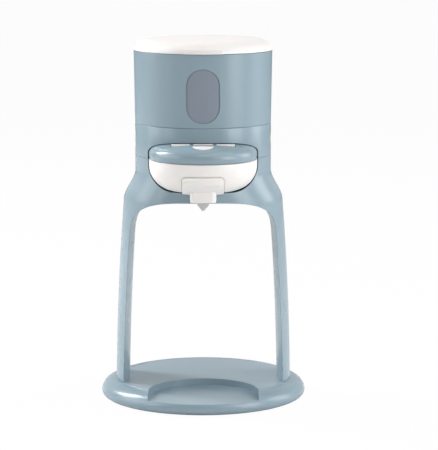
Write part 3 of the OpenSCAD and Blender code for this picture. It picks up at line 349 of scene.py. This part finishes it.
SLOT_MATERIALS = {
    "shell_blue": blue, "white_plastic": white, "dark_plastic": dark, "steel": metal,
    "dark_rubber": black_rubber, "soft_rubber": pale_rubber, "rail_plastic": rail_plastic,
    "board_green": board, "clear_plastic": clear, "window_grey": smoked,
}
for part in frame["record"]["subparts"]:
    mesh = frame["nodes"][part["node"]].data
    if not mesh.materials:
        mesh.materials.append(None)
    for i in range(len(mesh.materials)):
        mesh.materials[i] = SLOT_MATERIALS[part["material_slot"]]


# ---------------------------------------------------------------- foot
foot_outline = [(0, RECESS_Z), (RECESS_R, RECESS_Z), (RECESS_R, RIM_LIFT), (BASE_R - RIM_ROUND, RIM_LIFT)]
foot_outline += arc(BASE_R - RIM_ROUND, RIM_Z, RIM_ROUND, RIM_Z - RIM_LIFT, -90, 0, 12)[1:]
foot_outline += arc(PLATEAU_R, RIM_Z, BASE_R - PLATEAU_R, PLATEAU_Z - RIM_Z, 0, 90, 30)[1:]
foot_outline += [(PLATEAU_R - LINE_DEEP, PLATEAU_Z - LINE_DEEP),
                 (PLATEAU_R - LINE_BOTTOM, PLATEAU_Z - LINE_DEEP),
                 (PLATEAU_R - LINE_END, PLATEAU_Z), (0, PLATEAU_Z)]
foot = revolve("foot", foot_outline, steps=256)
stand_plan = arc(0, -STAND_FORWARD, STAND_R, STAND_R, 0, 180, 64)
stand_plan += [(-STAND_R, FRONT_FAR), (STAND_R, FRONT_FAR)]
cut(foot, prism("stand", stand_plan, STAND_Z, PLATEAU_Z + PAST))
finish_piece(foot, "foot_shell", "stand", "shell_blue", blue, "base_shell")


# ---------------------------------------------------------------- arched frame
def frame_x(z):
    """Half width of the frame's outside."""
    if z >= HIP_Z:
        return HIP_X + (HEAD_R - HIP_X) * smooth_step((z - HIP_Z) / FLARE_H)
    u = (z - PLATEAU_Z) / (HIP_Z - PLATEAU_Z)
    return LEG_FOOT_X - LEG_LEAN * u + LEG_BOW * u * (1 - u)


def frame_y(z):
    """Half depth of the frame's outside."""
    return HEAD_R + LEG_DEEPER * (1 - smooth_step((z - DEEPER_TO_Z) / DEEPER_FADE_H))


def leg_in_x(z):
    return frame_x(z) - LEG_T


def leg_swell(z):
    """How far the legs' insides stand back at the front and the back."""
    return SWELL + FOOT_SWELL * (1 - smooth_step((z - PLATEAU_Z) / SWELL_FADE_H))


def leg_half_y(z):
    return frame_y(z) * math.sqrt(1 - ((leg_in_x(z) + leg_swell(z)) / frame_x(z)) ** 2)


def frame_ring(z, steps=224):
    turns = [2 * math.pi * i / steps for i in range(steps)]
    return [(frame_x(z) * math.cos(a), frame_y(z) * math.sin(a), z) for a in turns]


frame_low = PLATEAU_Z - FRAME_SUNK
level_h = (FRAME_TOP_Z - FRAME_GAP - frame_low) / FRAME_LEVELS
shell = loft("shell", [frame_ring(frame_low + level_h * i) for i in range(FRAME_LEVELS + 1)])


def arch_ring(y):
    """The arch's clear outline at a depth y: its sides open out towards the front and the back."""
    spread = min(1.0, abs(y) / THROAT_Y) ** 2
    low = PLATEAU_Z - ARCH_BELOW
    points = []
    for k in range(25):
        z = low + (KNEE_Z - low) * k / 25
        points.append((leg_in_x(z) + leg_swell(z) * spread, z))
    for k in range(30):
        a = math.radians(3 * k)
        z = KNEE_Z + (ARCH_Z - KNEE_Z) * math.sin(a) ** (2 / ARCH_SQUARE)
        reach = math.cos(a) ** (2 / ARCH_SQUARE)
        points.append(((leg_in_x(z) + leg_swell(z) * spread) * reach, z))
    whole = points + [(0, ARCH_Z)] + [(-x, z) for x, z in reversed(points)]
    return [(x, y, z) for x, z in whole]


def drawer_way(name):
    """The way out for the drawer: wider round the bowl than over the cap."""
    r, edge, low = BOWL_R + BOWL_GAP, BOWL_EDGE_R + BOWL_GAP, BOWL_Z - BOWL_GAP
    points = arc(-r + edge, low + edge, edge, edge, 180, 270, 24)
    points += arc(r - edge, low + edge, edge, edge, 270, 360, 24)
    crown = []
    for i in range(1, 31):
        a = math.radians(90 * i / 30)
        reach = CAP_GAP + (BOWL_GAP - CAP_GAP) * math.sin(a) ** 8
        crown.append((BOWL_R * math.sin(a) ** DOME_POWER + reach,
                      CAP_MID_Z + (CAP_TOP_Z + CAP_GAP - CAP_MID_Z) * math.cos(a) ** DOME_POWER))
    points += list(reversed(crown)) + [(-x, z) for x, z in crown]
    return prism(name, points, -SIDE_FAR, 0, "y")


def cover_well(name, gap, side):
    """The room for a leg's inner cover, less a gap all round."""
    rings = []
    for k in range(25):
        z = COVER_Z + gap + (COVER_H - 2 * gap) * k / 24
        half = COVER_SHARE * leg_half_y(z) - gap
        low, high = side * (leg_in_x(z) - COVER_INSIDE), side * (leg_in_x(z) + COVER_DEEP)
        rings.append([(low, -half, z), (high, -half, z), (high, half, z), (low, half, z)])
    return loft(name, rings)


arch_depths = [-y for y in reversed(ARCH_OUTER_Y)]
arch_depths += [-THROAT_Y + 2 * THROAT_Y * i / 16 for i in range(17)]
arch_depths += ARCH_OUTER_Y
cut(shell, loft("opening", [arch_ring(y) for y in arch_depths]))
for side, label in ((-1, "left"), (1, "right")):
    cover = common(copy_of(shell), cover_well("well", COVER_GAP, side))
    finish_piece(cover, "leg_cover_smooth_" + label, "stand", "shell_blue", blue, "leg_cover_" + label)
cut(shell, cover_well("well", 0.0, -1), cover_well("well", 0.0, 1),
    upright("hollow", HEAD_IN_R, 0, 0, FLOOR_Z, FRAME_TOP_Z + PAST, steps=160),
    drawer_way("way"),
    block("service", (-SERVICE_X, SERVICE_FRONT_Y, ARCH_Z - PAST),
          (SERVICE_X, SERVICE_BACK_Y, ARCH_Z + SERVICE_RIM)),
    block("inlet", (-INLET_X, INLET_Y[0], FLOOR_Z + INLET_UP), (INLET_X, INLET_Y[1], FLOOR_Z + INLET_TOP)))
finish_piece(shell, "arched_frame", "stand", "shell_blue", blue, "arch_frame")

# Ring above the frame: a soft upper edge and a shallow joint under the tank
head_outline = [(HEAD_IN_R, FRAME_TOP_Z), (HEAD_R - HEAD_LOW_ROUND, FRAME_TOP_Z),
                (HEAD_R, FRAME_TOP_Z + HEAD_LOW_ROUND)]
head_outline += [(HEAD_R - inset, z) for inset, z in HEAD_EDGE] + [(HEAD_IN_R, HEAD_TOP_Z)]
head = revolve("head", head_outline, steps=256)
cut(head, drawer_way("way"),
    round_bar("button", BUTTON_HOLE_R, CONTROL_X[0], CONTROL_X[1], 0, CONTROL_Z),
    round_bar("selector", SELECTOR_HOLE_R, -CONTROL_X[1], -CONTROL_X[0], 0, CONTROL_Z))
finish_piece(head, "head_ring_smooth", "stand", "shell_blue", blue, "head_ring")


# ---------------------------------------------------------------- lid
def lid_solid(name, inset):
    """The lid's full form; its hollow, if inset, starts a little lower."""
    low = LID_Z - (PAST if inset else 0)
    edge_z = LID_Z + LID_STRAIGHT
    points = [(0, low), (LID_R - inset, low)]
    points += arc(LID_R - LID_EDGE_R, edge_z, LID_EDGE_R - inset, LID_TOP_Z - edge_z - inset, 0, 90, 30)
    return revolve(name, points + [(0, LID_TOP_Z - inset)])


lid = cut(lid_solid("lid", 0), lid_solid("hollow", LID_WALL))
tab_outline = [(TAB_BACK_R, LID_Z), (LID_R + TAB_OUT, LID_Z)]
tab_outline += arc(LID_R + TAB_OUT - TAB_ROUND, LID_Z + TAB_H - TAB_ROUND, TAB_ROUND, TAB_ROUND, 0, 90, 8)
tab_outline += [(TAB_BACK_R, LID_Z + TAB_H)]
tab = common(revolve("tab", tab_outline),
             block("span", (-TAB_X, -SIDE_FAR, LID_Z - PAST), (TAB_X, 0, LID_Z + PAST)))
join(lid, tab, ring("plug", PLUG_R, PLUG_BORE, LID_Z - PLUG_HALF_H, LID_Z + PLUG_HALF_H),
     round_bar("knuckle", LID_KNUCKLE_R, -LEAF_X, LEAF_X, LID_PIN_Y, LID_PIN_Z),
     block("leaf", (-LEAF_X, LID_R - LEAF_IN, LID_Z), (LEAF_X, LID_PIN_Y, LID_Z + LEAF_T)))
cut(lid, round_bar("bore", LID_PIN_BORE, -PAST, PAST, LID_PIN_Y, LID_PIN_Z))
finish_piece(lid, "tank_lid_smooth", "lid", "white_plastic", white, "tank_lid")


# ---------------------------------------------------------------- bowl
def bowl_solid(name, grow, top=FRAME_TOP_Z):
    edge = BOWL_EDGE_R + grow
    points = [(0, BOWL_Z - grow)]
    points += arc(BOWL_R - BOWL_EDGE_R, BOWL_Z + BOWL_EDGE_R, edge, edge, -90, 0, 32)
    return revolve(name, points + [(BOWL_R + grow, top), (0, top)], (0, -BOWL_FORWARD))


def plate_room(name, grow, front_y, back_y):
    """The clip's plate seen from the front, drawn out from one depth to another."""
    x, z, corner = PLATE_X + grow, BOWL_Z + PLATE_UP + grow, PLATE_CORNER + grow
    plan = [(-x, BOWL_Z - PAST), (x, BOWL_Z - PAST)]
    plan += arc(x - corner, z - corner, corner, corner, 0, 90, 8)
    plan += arc(corner - x, z - corner, corner, corner, 90, 180, 8)
    return prism(name, plan, front_y, back_y, "y")


bowl = cut(bowl_solid("bowl", 0), bowl_solid("inside", -BOWL_WALL, FRAME_TOP_Z + PAST))
groove_back_y = NOZZLE_Y + GROOVE_BACK
groove = common(bowl_solid("groove", GROOVE_PROUD),
                plate_room("plan", GROOVE_WIDE, FRONT_FAR, groove_back_y))
cut(groove, bowl_solid("floor", -GROOVE_DEEP))
cut(groove, plate_room("plan", -GROOVE_UNDER, FRONT_FAR - PAST, groove_back_y + PAST))
cut(bowl, upright("outlet", OUTLET_R, 0, NOZZLE_Y, BOWL_Z - PAST, BOWL_Z + PAST), groove)
finish_piece(bowl, "mixing_bowl_smooth", "drawer", "white_plastic", white, "mixing_bowl")


# ---------------------------------------------------------------- cap
def cap_solid(name, inset):
    """The blue dome over the bowl; its hollow, if inset, starts a little lower."""
    hollow = inset > 0
    low = CAP_Z - (CAP_RIM_LAP if hollow else 0)
    points = [(0, low), (BOWL_R - inset - (0 if hollow else CAP_TUCK), low)]
    for i in range(41):
        a = math.radians(90 - 90 * i / 40)
        points.append(((BOWL_R - inset) * math.sin(a) ** DOME_POWER,
                       CAP_MID_Z + (CAP_TOP_Z - inset - CAP_MID_Z) * math.cos(a) ** DOME_POWER))
    points[-1] = (0, CAP_TOP_Z - inset)
    return revolve(name, points, (0, -BOWL_FORWARD))


dome = cut(cap_solid("dome", 0), cap_solid("inside", CAP_WALL))
rear = copy_of(dome)
cut(rear, ahead_of("front", HINGE_Y - KNUCKLE_R),
    ahead_of("right", REAR_EDGE_Y, x0=STRIP_OUT), ahead_of("left", REAR_EDGE_Y, x1=-STRIP_OUT),
    ahead_of("middle", REAR_EDGE_Y, -STRIP_IN, STRIP_IN),
    *[block("room", (x0, HINGE_Y - PAST, HINGE_Z - KNUCKLE_R - REAR_ROOM),
            (x1, HINGE_Y + KNUCKLE_R + REAR_ROOM, TOP_FAR))
      for x0, x1 in ((STRIP_OUT, KNUCKLE_END), (-KNUCKLE_END, -STRIP_OUT), (-STRIP_IN, STRIP_IN))],
    upright("water_hole", WATER_HOLE_R, 0, WATER_HOLE_Y, CAP_Z - PAST, TOP_FAR),
    round_bar("bore", CAP_BORE, -CAP_BORE_X, CAP_BORE_X, HINGE_Y, HINGE_Z),
    *[block("slot", (x0, HINGE_Y, HINGE_Z - SLOT_LOW),
            (x1, HINGE_Y + KNUCKLE_R + SLOT_LONG, HINGE_Z - SLOT_HIGH))
      for x0, x1 in ((SLOT_IN, SLOT_END), (-SLOT_END, -SLOT_IN))])
cap_rim = ring("rim", CAP_RIM_R, CAP_RIM_BORE, FRAME_TOP_Z, CAP_Z + CAP_RIM_LAP, (0, -BOWL_FORWARD))
join(rear, cut(cap_rim, ahead_of("front", REAR_EDGE_Y)))
finish_piece(rear, "rear_cap_smooth", "drawer", "shell_blue", blue, "rear_cap")


def thumb_room(name, grow, low):
    """The half-round thumb mark seen from above, drawn out upwards."""
    r, back_y = THUMB_R + grow, THUMB_Y + grow
    return prism(name, arc(0, THUMB_Y, r, r, 180, 360, 40) + [(r, back_y), (-r, back_y)], low, TOP_FAR)


def strap(name, grow):
    return block(name, (-STRAP_X - grow, THUMB_Y - grow, STRAP_Z - grow),
                 (STRAP_X + grow, HINGE_Y + grow, STRAP_Z + STRAP_T + grow))


room_r = KNUCKLE_R + FRONT_ROOM
front = cut(dome, block("rear", (-SIDE_FAR, FRONT_EDGE_Y, 0), (SIDE_FAR, SIDE_FAR, TOP_FAR)),
            block("room", (-KNUCKLE_END - REAR_ROOM, HINGE_Y - room_r, HINGE_Z - room_r),
                  (KNUCKLE_END + REAR_ROOM, 0, TOP_FAR)),
            thumb_room("thumb", THUMB_GAP, CAP_Z), strap("strap", THUMB_GAP))
finish_piece(front, "front_cap_smooth", "drawer_cap", "shell_blue", blue, "front_cap")

thumb = common(cap_solid("thumb", -THUMB_PROUD), thumb_room("plan", 0.0, STRAP_Z - THUMB_DEEP))
join(thumb, strap("strap", 0),
     round_bar("knuckle", KNUCKLE_R, -THUMB_KNUCKLE_X, THUMB_KNUCKLE_X, HINGE_Y, HINGE_Z),
     block("web", (-STRAP_X, HINGE_Y - WEB_HALF, STRAP_Z), (STRAP_X, HINGE_Y + WEB_HALF, HINGE_Z)))
cut(thumb, round_bar("bore", THUMB_BORE, -PAST, PAST, HINGE_Y, HINGE_Z))
finish_piece(thumb, "thumb_leaf_smooth", "drawer_cap", "white_plastic", white, "thumb_leaf")


# ---------------------------------------------------------------- clip
plate = common(bowl_solid("plate", PLATE_T), plate_room("plan", 0, FRONT_FAR, NOZZLE_Y + NOZZLE_HALF_Y))
# A rounded finger lip runs across the plate, along the bowl's curve
lip_turn = -math.asin(1 - LIP_UP / BOWL_EDGE_R)
lip_out = BOWL_R - BOWL_EDGE_R + LIP_REACH * math.cos(lip_turn)
lip_z = BOWL_Z + BOWL_EDGE_R + LIP_REACH * math.sin(lip_turn)
lip_ring = revolve("lip", full_circle(lip_out, lip_z, LIP_R, 48), (0, -BOWL_FORWARD))
lip_plan = [(x, BOWL_Z + LIP_UP - LIP_SINK + z) for x, z in rounded_box(LIP_X, LIP_HALF_H, LIP_CORNER)]
join(plate, common(lip_ring, prism("span", lip_plan, FRONT_FAR, NOZZLE_Y, "y")))
nozzle_rings = []
for z, x in ((NOZZLE_Z, NOZZLE_END_X), (NOZZLE_Z + NOZZLE_TAPER_H, NOZZLE_X),
             (BOWL_Z + NOZZLE_LAP, NOZZLE_X)):
    half_y = NOZZLE_HALF_Y * x / NOZZLE_X
    nozzle_rings.append([(px, NOZZLE_Y + py, z) for px, py in rounded_box(x, half_y, NOZZLE_CORNER)])
join(plate, loft("nozzle", nozzle_rings))
cut(plate, bowl_solid("bowl", 0, FRAME_TOP_Z + PAST),
    upright("bore", NOZZLE_BORE, 0, NOZZLE_Y, NOZZLE_Z - PAST, BOWL_Z + PAST),
    upright("seat", TIP_SEAT_R, 0, NOZZLE_Y, NOZZLE_Z - PAST, NOZZLE_Z + TIP_SEAT_H))
finish_piece(plate, "nozzle_clip_smooth", "drawer", "white_plastic", white, "nozzle_clip")


# ---------------------------------------------------------------- studio, in metres
FLOOR_SHADE, FLOOR_GLOW = 0.78, 0.97
FLOOR_HALF_MM = 9000
# The room is black towards the front and brightens smoothly towards the back
ROOM_DARK_TO, ROOM_FULL_AT, ROOM_STRENGTH = 0.2, 1.0, 0.66
LIGHT_AIM = (0, 0, 0.15)
# Three panels a side stand round the object, from the front to the back, and two hang over it:
# name, place, width, height, watts
LIGHTS = (
    ("front_right", (1.1, -1.65, 1.1), 0.8, 0.9, 4.5),
    ("side_right", (1.6, -1.15, 0.7), 0.9, 1.3, 18),
    ("back_right", (1.9, 0.35, 0.8), 0.9, 1.3, 15),
    ("front_left", (-1.7, -1.0, 0.8), 0.6, 1.2, 7),
    ("side_left", (-1.9, 0.0, 0.8), 1.1, 1.3, 13),
    ("back_left", (-1.35, 0.72, 1.25), 0.5, 0.9, 27),
    ("top_right", (0.7, 0.05, 1.8), 0.35, 0.9, 6),
    ("top_front", (0.1, -1.0, 2.0), 0.9, 0.5, 8),
)
# The photo's camera: focal length and sideways aim in the photo's pixels, tilt in degrees
FOCAL_PX, PHOTO_PX, AIM_PX, SENSOR_MM = 2238.95, 450, 16, 36
CAMERA_PLACE, CAMERA_TILT, CAMERA_REACH = (0, -1.950, 0.452), 8.73, 60


def stage_material(name, shade, to_camera):
    """A pale matte surface that the camera mostly sees as white paper."""
    material = bpy.data.materials.new(name)
    material.use_nodes = True
    nodes, links = material.node_tree.nodes, material.node_tree.links
    nodes.clear()
    out = nodes.new("ShaderNodeOutputMaterial")
    matte = nodes.new("ShaderNodeBsdfDiffuse")
    matte.inputs["Color"].default_value = (shade, shade, shade, 1)
    glow = nodes.new("ShaderNodeEmission")
    glow.inputs["Color"].default_value = (1, 1, 1, 1)
    path = nodes.new("ShaderNodeLightPath")
    amount = nodes.new("ShaderNodeMath")
    amount.operation = "MULTIPLY"
    amount.inputs[1].default_value = to_camera
    links.new(path.outputs["Is Camera Ray"], amount.inputs[0])
    mix = nodes.new("ShaderNodeMixShader")
    links.new(amount.outputs["Value"], mix.inputs["Fac"])
    links.new(matte.outputs["BSDF"], mix.inputs[1])
    links.new(glow.outputs["Emission"], mix.inputs[2])
    links.new(mix.outputs["Shader"], out.inputs["Surface"])
    return material


def studio_world():
    """White to the camera; to the object, a soft glow from behind."""
    world = bpy.data.worlds.new("studio")
    world.use_nodes = True
    nodes, links = world.node_tree.nodes, world.node_tree.links
    nodes.clear()
    world_out = nodes.new("ShaderNodeOutputWorld")
    room = nodes.new("ShaderNodeBackground")
    room.inputs["Color"].default_value = (1, 1, 1, 1)
    way = nodes.new("ShaderNodeTexCoord")
    parts = nodes.new("ShaderNodeSeparateXYZ")
    links.new(way.outputs["Generated"], parts.inputs["Vector"])
    depth = nodes.new("ShaderNodeMapRange")
    depth.interpolation_type = "SMOOTHSTEP"
    depth.inputs["From Min"].default_value = ROOM_DARK_TO
    depth.inputs["From Max"].default_value = ROOM_FULL_AT
    depth.inputs["To Min"].default_value = 0.0
    depth.inputs["To Max"].default_value = ROOM_STRENGTH
    links.new(parts.outputs["Y"], depth.inputs["Value"])
    links.new(depth.outputs["Result"], room.inputs["Strength"])
    seen = nodes.new("ShaderNodeBackground")
    seen.inputs["Color"].default_value = (1, 1, 1, 1)
    seen.inputs["Strength"].default_value = 1.0
    path = nodes.new("ShaderNodeLightPath")
    either = nodes.new("ShaderNodeMixShader")
    links.new(path.outputs["Is Camera Ray"], either.inputs["Fac"])
    links.new(room.outputs["Background"], either.inputs[1])
    links.new(seen.outputs["Background"], either.inputs[2])
    links.new(either.outputs["Shader"], world_out.inputs["Surface"])
    return world


def soft_light(name, place, width, height, watts):
    data = bpy.data.lights.new(name, "AREA")
    data.shape = "RECTANGLE"
    data.size, data.size_y, data.energy = width, height, watts
    light = bpy.data.objects.new(name, data)
    light.location = place
    light.rotation_euler = (Vector(LIGHT_AIM) - Vector(place)).to_track_quat("-Z", "Y").to_euler()
    bpy.context.scene.collection.objects.link(light)


reach = FLOOR_HALF_MM
floor_corners = [(-reach, -reach, 0), (reach, -reach, 0), (reach, reach, 0), (-reach, reach, 0)]
floor = make_object("studio_floor", floor_corners, [(0, 1, 2, 3)])
floor.data.materials.append(stage_material("pale_floor", FLOOR_SHADE, FLOOR_GLOW))
bpy.context.scene.world = studio_world()
for light_row in LIGHTS:
    soft_light(*light_row)

camera_data = bpy.data.cameras.new("photo_camera")
camera_data.lens = SENSOR_MM * FOCAL_PX / PHOTO_PX
camera_data.sensor_width = SENSOR_MM
camera_data.clip_end = CAMERA_REACH
camera = bpy.data.objects.new("photo_camera", camera_data)
camera.location = CAMERA_PLACE
camera.rotation_euler = (math.radians(90 - CAMERA_TILT), 0, -math.atan(AIM_PX / FOCAL_PX))
bpy.context.scene.collection.objects.link(camera)
bpy.context.scene.camera = camera
bpy.context.scene.view_settings.view_transform = "Standard"
